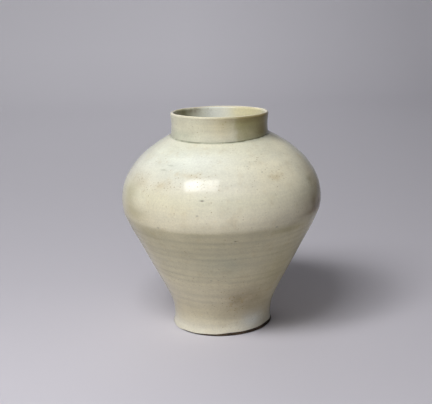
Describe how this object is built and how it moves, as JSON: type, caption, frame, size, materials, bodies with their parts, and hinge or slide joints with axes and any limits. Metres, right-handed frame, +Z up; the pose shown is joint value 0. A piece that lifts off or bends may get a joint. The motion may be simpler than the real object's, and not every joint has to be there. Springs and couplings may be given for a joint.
{
  "type": "porcelain storage jar",
  "caption": "Broad-shouldered white-glazed porcelain storage jar that tapers to a turned foot, with a short upright collar round its open mouth.",
  "frame": {"origin": "on the surface the jar stands on, under the middle of the belly; the foot ring is centred about 4 mm to -X of it, because the bowl leans", "axes": "+Z up along the dome's axis, -Y towards the front of the jar as it is shown, +X to the right"},
  "size_m": [0.31, 0.31, 0.3422],
  "materials": {
    "porcelain": "bare fired porcelain, fine and matt, buff where the foot ring stands",
    "luting_slip": "fired slip, matt",
    "outer_glaze": "clear glossy glaze over white clay, warm white with greenish and ochre patches",
    "inner_glaze": "clear glossy glaze, thinner, greenish white"
  },
  "bodies": {
    "root": {"lower_bowl": "porcelain", "upper_dome": "porcelain", "collar": "porcelain", "belly_luting_slip": "luting_slip", "collar_luting_slip": "luting_slip", "bowl_outer_glaze": "outer_glaze", "dome_outer_glaze": "outer_glaze", "collar_outer_glaze": "outer_glaze", "bowl_inner_glaze": "inner_glaze", "dome_inner_glaze": "inner_glaze", "collar_inner_glaze": "inner_glaze", "foot_recess_glaze": "inner_glaze"}
  },
  "joints": []
}
